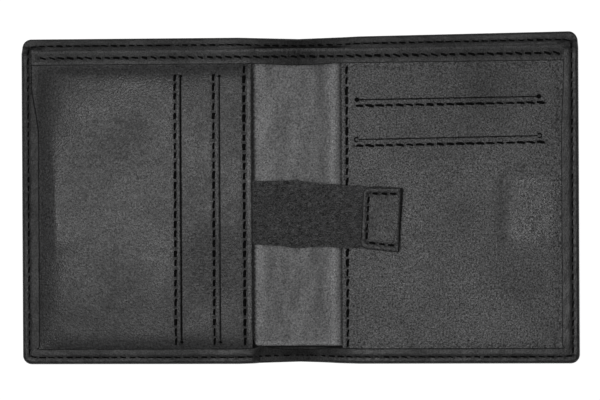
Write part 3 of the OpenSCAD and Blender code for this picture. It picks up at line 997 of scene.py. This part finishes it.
def facing_top(x, y):
    """Front face of the facing strip: raised over the panels, crinkled at the spine."""
    high = ramp(-x, 13.6, 17.0) + ramp(x, 12.6, 16.0)
    z = FACING_LOW_TOP + 0.15 + (FACING_HIGH_TOP - FACING_LOW_TOP - 0.1) * high
    crinkle = np.sin(x * 3.0 + 0.8 * np.sin(y * 1.7)) + 0.7 * np.sin(x * 5.2 + y * 0.5)
    z += 0.16 * bell(x + 1.5, 6.0) * crinkle
    z += 0.05 * waves(x, y, 4.5, 31) + 0.02 * waves(x, y, 2.0, 32)
    return z + 0.10 * bell(y - FACING_TOP_Y + 0.9, 0.6)


def build_facing(side):
    outline = rectangle(*sorted((FACING_END[side], 0.0)), FACING_LOW_Y, FACING_TOP_Y, 0.8)
    outline[:, 1] -= 0.55 * bell(outline[:, 0], 9.0) * (outline[:, 1] < FACING_LOW_Y + 0.01)

    def under(x, y):
        return np.where(y > DIVIDER_TOP_Y, DIVIDER_Z, facing_top(x, y) - POCKET_T)

    def facing_shading(x, y):
        # painted highlight along the top edge; darker over the spine; lighter below the seam away
        # from the spine
        rim_highlight = bell(y - FACING_TOP_Y + 0.45, 0.32)
        below_seam = 1 - ramp(y, FACING_SEAM_Y - 1.6, FACING_SEAM_Y - 0.6)
        return (0.18 * bell(x, 9) - 0.30 * below_seam * ramp(abs(x), 10, 16)
                - 2.4 * rim_highlight * (0.3 + 0.7 * bell(x, 20, 4)))

    obj = leather_sheet(f"facing_strip_{side}", outline, facing_top, under, FACING, step=0.8,
                        edge_r=0.3, seams=[facing_seam(side)], cuts=(0,), shade=facing_shading,
                        wrinkle=lambda x, y: 0.1 + 1.2 * bell(x + 1.5, 8))
    finish_blended(obj, side, "facing")


def facing_seam(side):
    pitch = 3.1
    reach = pitch * math.floor((abs(FACING_END[side]) - 1.0) / pitch)
    if side == "left":
        return Seam((-reach, FACING_SEAM_Y), (0.0, FACING_SEAM_Y), pitch, runs_on=(False, True))
    return Seam((0.0, FACING_SEAM_Y), (reach, FACING_SEAM_Y), pitch, runs_on=(True, False))


def build_facing_stitches(side):
    obj = stitch_row(f"facing_stitches_{side}", on_top([facing_seam(side)], facing_top, 0.10),
                     slant=0.34, radius=0.44)
    finish_blended(obj, side, "facing_thread")


on_both_sides(build_facing)
on_both_sides(build_facing_stitches)


# ---------------------------------------------------------------- left panel

def slit(a, b, width, end_r):
    """Closed outline of a cut from a to b with a round hole at each end."""
    a, b = np.array(a, float), np.array(b, float)
    along = (b - a) / np.linalg.norm(b - a)
    turn = math.degrees(math.atan2(along[1], along[0]))
    opening = math.degrees(math.asin(min(1.0, width / 2 / end_r)))
    points = (arc(b[0], b[1], end_r, turn - 180 + opening, turn + 180 - opening, 9)
              + arc(a[0], a[1], end_r, turn + opening, turn + 360 - opening, 9))
    return dense(points, 0.9)


PANEL_LOW_Y = -HALF_H + 1.3
LEFT_SLOT_Y = (-46.6, 41.3)
PANEL_TOP = LEFT_TOP - 0.35
PUSHER_X = corners("strap_inner_run")[0][0] + np.array([0.4, 11.2])
PUSHER_Y = (-12.9, 10.2)

LEFT_SEAMS = [Seam((x, -48.0), (x, top), SLOT_PITCH, groove, -1, bead_at)
              for x, top, groove, bead_at in ((LEFT_MOUTH - 2.5, 45.0, 0.20, 1.35),
                                              (INNER_SLOT_X - 2.0, 42.6, 0.13, 1.0),
                                              (OUTER_SLOT_X - 1.9, 42.6, 0.13, 1.0))]

# where the left panel starts to rise from the seams round it
FOOT_X, FOOT_LOW_Y, FOOT_HIGH_Y = -86.9, -49.0, 44.6

# creases beside the slots and one along the facing: two ends and the depth
LEFT_CREASES = (((-25.3, 36.3), (-22.3, 34.7), 0.12), ((-31.5, 41.8), (-27.8, 38.6), 0.12),
                ((-33.0, 40.2), (-28.8, 37.2), 0.08), ((-24.5, 24.0), (-20.5, 26.5), 0.07),
                ((-24.0, 21.5), (-20.2, 23.8), 0.07), ((-36.0, -14.0), (-31.0, -19.0), 0.08),
                ((-34.0, -17.0), (-29.5, -22.5), 0.07), ((-24.5, -15.0), (-20.0, -20.0), 0.08),
                ((-23.5, -20.0), (-19.8, -24.0), 0.07), ((-37.0, -22.0), (-32.5, -25.0), 0.06),
                ((-88.5, 44.0), (-28.5, 43.8), 0.16))


def left_panel_top(x, y):
    """Front face of the puffed left panel: a steep foot along the turned-in edge, softer
    shoulders above it, and the raised mark of the strap's doubled end."""
    wander = waves(x, y, 24, 43)
    from_side, from_low, from_high = x - FOOT_X, y - FOOT_LOW_Y, FOOT_HIGH_Y - y
    beside_pusher = between(y, PUSHER_Y[0] - 9, PUSHER_Y[0], PUSHER_Y[1], PUSHER_Y[1] + 18)
    soft = eased(from_side / (17.0 + 2.0 * wander + 8.0 * ramp(y, 12, 34)))
    side = (0.06 * ramp(from_side, -0.3, 0.6)
            + 0.94 * (soft + (ramp(from_side, 0.0, 5.9) - soft) * beside_pusher))
    upper = (0.16 * ramp(from_high, -0.8, 0.2) + 0.44 * eased(from_high / (8.0 + wander))
             + 0.40 * eased(from_high / 26))
    lower = (0.10 * ramp(from_low, -0.3, 0.5) + 0.56 * eased(from_low / (6.5 + 0.6 * wander))
             + 0.34 * eased(from_low / 22))
    plateau = side * upper * lower
    z = FLANGE_TOP + 0.02 + plateau * (PANEL_TOP - FLANGE_TOP - 0.2 * ramp(x, -40, LEFT_MOUTH)
                                       + 0.16 * waves(x, y, 36, 41) + 0.06 * waves(x, y, 14, 42))
    z += 0.3 * bell(x + 76.7, 2.8) * bell(y + 43.2, 2.2)
    z += (0.38 * between(x, PUSHER_X[0] - 0.3, PUSHER_X[0] + 0.5, PUSHER_X[1] - 3, PUSHER_X[1] + 5)
          * between(y, PUSHER_Y[0] - 6, PUSHER_Y[0] + 1.5, PUSHER_Y[1] - 3, PUSHER_Y[1] + 5))
    for a, b, depth in LEFT_CREASES:
        z += crease(x, y, a, b, depth, 0.4)
    return z


def build_left_panel():
    outline = rounded(WRAPPED_X, LEFT_MOUTH, PANEL_LOW_Y, DIVIDER_TOP_Y, (1.5, 3.0, 0.4, 0.4), 0.7)
    slots = [slit((x, LEFT_SLOT_Y[0]), (x, LEFT_SLOT_Y[1]), width, end_r)
             for x, width, end_r in ((OUTER_SLOT_X, 0.36, 0.5), (INNER_SLOT_X, 0.14, 0.42))]

    def under(x, y):
        lift = np.clip((left_panel_top(x, y) - FLANGE_TOP) / 1.5, 0, 1)
        return left_panel_top(x, y) - FLAP_T + 0.1 * lift

    def left_panel_shading(x, y):
        # painted light and shade: darker at the slots' lower ends, a painted highlight on the
        # mouth's rolled lip, a faint painted highlight on the strap end's raised mark, painted
        # shade on the upper-left shoulder, and darker towards the bottom
        at_slots = bell(x - OUTER_SLOT_X, 1.0) + bell(x - INNER_SLOT_X, 1.0)
        flare = 0.8 * at_slots * bell(y + 47.0, 0.9)
        # painted highlight along the mouth's rolled lip
        lip = -0.9 * bell(x - LEFT_MOUTH + 0.75, 0.45)
        pusher_highlight = between(x, -82.2, -81.4, -73, -69) * between(y, -14, -12, 6, 12)
        # painted shade on the upper-left shoulder's slope
        shoulder_shade = 0.5 * bell(x + 85.5, 4.0 + 2.0 * ramp(y, 20, 40)) * ramp(y, 14, 34)
        return flare + lip + shoulder_shade + 0.10 * ramp(-y, 15, 40) - 0.04 * pusher_highlight

    def folds(x, y):
        return (0.7 * ramp(x, -46, -34) * between(-y, 3, 14, 26, 38)
                + 0.35 * ramp(x, -26, -22) * between(y, 8, 16, 30, 38))

    obj = leather_sheet("left_pocket_panel", outline, left_panel_top, under, PANEL, step=1.0,
                        edge_r=0.3, holes=slots, seams=LEFT_SEAMS, shade=left_panel_shading, wrinkle=folds)
    finish(obj, "left_half", "panel_leather", "left_panel")


def build_panel_stitches(side, rows, seams, top, radii, **look):
    """The stitches along a panel's mouth, which comes first, and beside its slots."""
    for row, seam, radius in zip(rows, seams, radii):
        obj = stitch_row(f"{side}_{row}_stitches", on_top([seam], top), radius=radius, **look)
        finish(obj, f"{side}_half", "thread", f"{side}_{row}_thread")


build_left_panel()
build_panel_stitches("left", ("mouth", "inner_slot", "outer_slot"), LEFT_SEAMS, left_panel_top,
                     (0.60, 0.56, 0.56), length_share=0.74)


# ---------------------------------------------------------------- right panel

SHORT_SLOT_X = (RIGHT_MOUTH + 5.2, RIGHT_MOUTH + 65.2)
SLOT_SLOPE = 0.9 / 60.0    # the level slots rise slightly to the right

RIGHT_SEAMS = [
    Seam((RIGHT_MOUTH + 1.8, -48.9), (RIGHT_MOUTH + 1.8, 44.6), 3.4, 0.16, 1, 1.0),
    *(Seam((SHORT_SLOT_X[0] - 0.8, y - start), (SHORT_SLOT_X[1] + 2.2, y - end), 3.3, 0.12, 1, 1.0)
      for y, start, end in ((UPPER_SLOT_Y, 2.3, 1.65), (LOWER_SLOT_Y, 2.5, 1.6)))]


def right_panel_top(x, y):
    """Front face of the right panel, nearly flat, with the faint mark of the strap's end."""
    inner = ramp(-x, -HALF_W + 5.0, -HALF_W + 9.0) * ramp(-y, -45.2, -42.5) * ramp(y, -49.2, -46.4)
    z = FLANGE_TOP + 0.03 + 0.36 * inner
    z += inner * (0.06 * waves(x, y, 30, 51) + 0.03 * waves(x, y, 12, 52))
    z += 0.20 * between(x, 68.2, 70.6, 82, 86) * between(y, -15.5, -12.5, 7.4, 9.6)
    z += crease(x, y, (68.0, 6.0), (67.4, -12.0), 0.26, 1.5)
    z += crease(x, y, (69.0, 10.2), (84.0, 10.6), 0.14, 1.4)
    z += crease(x, y, (86.5, -47), (86.7, 44), 0.08, 0.25)
    return z


def build_right_panel():
    outline = rounded(RIGHT_MOUTH, -WRAPPED_X, PANEL_LOW_Y, DIVIDER_TOP_Y, (0.4, 1.5, 0.4, 0.4),
                      0.7)
    rise = SLOT_SLOPE * (SHORT_SLOT_X[1] - SHORT_SLOT_X[0])
    a = (SHORT_SLOT_X[0] + 0.6, LOWER_SLOT_Y - rise / 2)
    b = (SHORT_SLOT_X[1] - 0.6, LOWER_SLOT_Y + rise / 2)
    slots = [slit((SHORT_SLOT_X[0], UPPER_SLOT_Y - rise / 3),
                  (SHORT_SLOT_X[1], UPPER_SLOT_Y + rise / 3), 0.20, 0.75),
             slit(a, b, 0.18, 0.14)]
    # the lower slot's punched ends are still filled, so only a ring shows
    for (cx, cy), way, middle in ((a, -1, 180), (b, 1, 0)):
        outer = arc(cx + way * 0.75, cy, 0.85, middle - 132, middle + 132, 13)
        inner = arc(cx + way * 0.75, cy, 0.58, middle + 132, middle - 132, 13)
        slots.append(np.array(outer + inner))

    def under(x, y):
        return right_panel_top(x, y) - POCKET_T

    def shading_and_tone(x, y):
        # painted highlight on the strap end's mark
        imprint_highlight = between(x, 68.4, 71, 83, 87) * between(y, -15, -12, 5.5, 9)
        # painted shade along the mark's left and upper edges
        imprint_edge_shade = (0.32 * bell(x - 67.4, 2.8) * between(y, -17, -11, 6, 11)
                      + 0.18 * bell(y - 10.2, 1.6) * between(x, 64, 70, 82, 88))
        # painted light and shade of the panel's gentle warps
        warp_shading = (0.26 * bell(x - 60, 15) * bell(y - 36, 10)
                   - 0.16 * bell(x - 24, 11) * bell(y - 30, 22)
                   + 0.16 * bell(x - 50 + 0.8 * y, 9) * ramp(-y, -4, 6)
                   - 0.14 * bell(x - 62, 9) * bell(y - 8, 7))
        # painted shade on the upper part, which stands for its slight tilt
        return warp_shading + 0.12 * ramp(y, 8, 22) + imprint_edge_shade - 0.26 * imprint_highlight

    obj = leather_sheet("right_pocket_panel", outline, right_panel_top, under, PEBBLED, step=1.0,
                        edge_r=0.24, holes=slots, seams=RIGHT_SEAMS, shade=shading_and_tone,
                        wrinkle=lambda x, y: 0.12 * ramp(-x, -40, -18) * ramp(-y, 12, 30))
    finish(obj, "right_half", "panel_leather", "right_panel")


build_right_panel()
build_panel_stitches("right", ("mouth", "upper_slot", "lower_slot"), RIGHT_SEAMS, right_panel_top,
                     (0.60, 0.54, 0.54), arch=0.2, slant=0.20, length_share=0.78)


# ---------------------------------------------------------------- pull strap

STRAP_MOUTH_Y = -3.8
STRAP_HALF = 10.5
STRAP_CUTS = (-11.6, 0.0, 12.0)    # where one stretch of the strap meets the next


def strap_line(x):
    """Height of the strap's middle line at x."""
    return STRAP_MOUTH_Y + (x - LEFT_MOUTH) * STRAP_DIR[1] / STRAP_DIR[0]


def strap_half_width(x):
    return STRAP_HALF + 0.55 * bell(x + 1.5, 6.0) - 0.15 * bell(x - 9, 4.0)


def strap_under(x, y):
    """Underside of the strap, with shallow waves where it lies free."""
    free = between(x, -13, -6, 14, 21)
    z = STRAP_Z + 0.04 * ramp(x, -14, -8) + free * (0.16 + 0.16 * np.sin((x + 4) * 0.42))
    return z + 0.05 * free * waves(x, y, 9, 61)


def strap_top(x, y):
    return strap_under(x, y) + STRAP_T


def strap_outline(x0, x1):
    xs = np.linspace(x0, x1, max(2, round((x1 - x0) / 0.8)) + 1)
    half, middle = strap_half_width(xs), strap_line(xs)
    low_y = middle - half + 0.12 * waves(xs, 0 * xs, 7, 62)
    high_y = middle + half - 0.4 * ramp(xs, 9, 18) + 0.12 * waves(xs, 0 * xs, 6, 63)
    low, high = np.c_[xs, low_y], np.c_[xs, high_y][::-1]
    right = dense([low[-1], high[0]], 0.8, closed=False)[1:-1]
    left = dense([high[-1], low[0]], 0.8, closed=False)[1:-1]
    return np.vstack([low, right, high, left])


def build_strap():
    """The strip in four stretches, one for each of the strap's joints."""
    cuts = (PUSHER_X[0] + 0.4, *STRAP_CUTS, 33.6)
    stretches = (
        ("inner", "strap_inner", "strap_mouth", LIFT_X - 1.5, LIFT_X + 1.5, "strap_inner_run"),
        ("left", "strap_mouth", "strap_bridge", -FOLD_X - BEND, -FOLD_X + BEND, "strap_mouth_run"),
        ("middle", "strap_bridge", "strap_tip", FOLD_X - BEND, FOLD_X + BEND, "strap_bridge_run"),
        ("tip", "strap_tip", "strap_tab", TAB_HINGE_X - 1.0, TAB_HINGE_X + 1.5, "strap_tip_run"))
    for x0, x1, (name, a, b, start, end, node) in zip(cuts, cuts[1:], stretches):
        obj = leather_sheet(f"strap_{name}_stretch", strap_outline(x0, x1), strap_top,
                            strap_under, STRAP, step=0.7, edge_r=0.2, cuts=STRAP_CUTS)
        bend(obj, a, b, start, end)
        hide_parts(node)


build_strap()


def strap_place(u, v):
    """The place of a point u along the strap from the pocket's mouth and v across."""
    ux, uy = STRAP_DIR
    return np.array([LEFT_MOUTH + u * ux - v * uy, STRAP_MOUTH_Y + u * uy + v * ux])


TAB_U = (36.4, 49.45)
TAB_V = 10.7
TAB_SEAM = 2.0
TAB_TOP = STRAP_TOP + STRAP_T


def along_strap(x, y):
    """How far a point lies along the strap from the pocket's mouth."""
    return (x - LEFT_MOUTH) * STRAP_DIR[0] + (y - STRAP_MOUTH_Y) * STRAP_DIR[1]


def tab_loop():
    flat = rounded(TAB_U[0], TAB_U[1], -TAB_V, TAB_V, (2.2, 0.7, 0.7, 2.2), 0.6)
    far = (flat[:, 0] - TAB_U[0]) / (TAB_U[1] - TAB_U[0])
    flat[:, 0] += (0.1 + 0.18 * far) * flat[:, 1] / TAB_V
    flat[:, 1] += np.where(flat[:, 1] < 0, 0.35 - 0.95 * far, -0.95 + 0.25 * far)
    return np.array([strap_place(u, v) for u, v in flat])


def tab_seams():
    u0, u1, v = TAB_U[0] + TAB_SEAM, TAB_U[1] - 1.6, TAB_V - TAB_SEAM
    at = strap_place
    return [Seam(at(u0 + 0.6, v - 0.9), at(u1, v - 0.7), 3.0, 0.2, 1, 1.0),
            Seam(at(u0, v - 1.5), at(u0 - 0.2, -v + 1.0), 3.3, 0.2, -1, 1.0),
            Seam(at(u0 + 0.2, -v + 0.3), at(u1, -v - 0.4), 3.0, 0.2, -1, 1.0)]


def tab_top(x, y):
    """Smooth side of the folded tab; it curls down over its folded end."""
    u = along_strap(x, y)
    z = TAB_TOP - 0.02 + 0.05 * waves(x, y, 7, 71)
    return z - 1.0 * np.clip((u - TAB_U[1] + 0.85) / 0.85, 0, 1) ** 2


def build_tab():
    seams = tab_seams()

    def shading_and_tone(x, y):
        # painted shade on the curled folded end, with a painted highlight on the ridge just inside
        # it
        u = along_strap(x, y)
        fold_shadow = ramp(u, TAB_U[1] - 1.0, TAB_U[1] - 0.5)
        return fold_shadow - 0.2 * bell(u - TAB_U[1] + 1.5, 0.5)

    obj = leather_sheet("finger_tab", tab_loop(), tab_top, lambda x, y: x * 0 + STRAP_Z + 0.75,
                        TAB, step=0.7, edge_r=0.42, seams=seams, shade=shading_and_tone)
    finish(obj, "strap_tab", "strap_leather", "strap_tab_end")
    threads = stitch_row("tab_stitches", on_top(seams, tab_top), radius=0.44, slant=0.1)
    finish(threads, "strap_tab", "thread", "tab_thread")


build_tab()


def build_pusher():
    """The strap's doubled inner end, with its seam."""
    flat = rounded(-66.0, -55.4, -10.3, 10.3, (1, 1, 1, 1), 0.9)
    loop = np.array([strap_place(u, v) for u, v in flat])
    obj = leather_sheet("strap_doubled_end", loop, lambda x, y: x * 0 + STRAP_Z - 0.02,
                        lambda x, y: x * 0 + STRAP_Z - STRAP_T, STRAP, step=1.2, edge_r=0.2)
    finish(obj, "strap_inner", "strap_leather")
    seam = Seam(strap_place(-56.7, -8.6), strap_place(-56.7, 8.6), 3.0)
    threads = stitch_row("pusher_stitches", on_top([seam], strap_top, 0.0), radius=0.3,
                         arch=0.14)
    finish(threads, "strap_inner", "thread", "pusher_thread")


build_pusher()


# ---------------------------------------------------------------- slot linings

def build_slot_lining(side, slot, panel_top, below, spare):
    """Cloth under a slot, hanging a little below the panel's underside. It reaches past the
    CAD node's ends by spare, so that it backs the slot's punched ends."""
    node = f"{side}_{slot}_slot_lining"
    low, high = corners(node)
    (x0, y0), (x1, y1) = low[:2] - spare, high[:2] + spare
    thickness = 0.10

    def top(x, y):
        return np.maximum(panel_top(x, y) - below, DIVIDER_TOP + thickness + 0.02)

    obj = leather_sheet(node.replace("lining", "cloth"), rectangle(x0, x1, y0, y1, 1.5), top,
                        lambda x, y: top(x, y) - thickness, SLOT_CLOTH, step=1.6, edge_r=0.05)
    finish(obj, f"{side}_half", "slot_cloth", node)


build_slot_lining("left", "outer", left_panel_top, 0.52, (0.0, 1.4))
build_slot_lining("left", "inner", left_panel_top, 0.66, (0.0, 1.4))
build_slot_lining("right", "upper", right_panel_top, 0.62, (1.5, 0.0))
build_slot_lining("right", "lower", right_panel_top, 0.78, (1.5, 0.0))
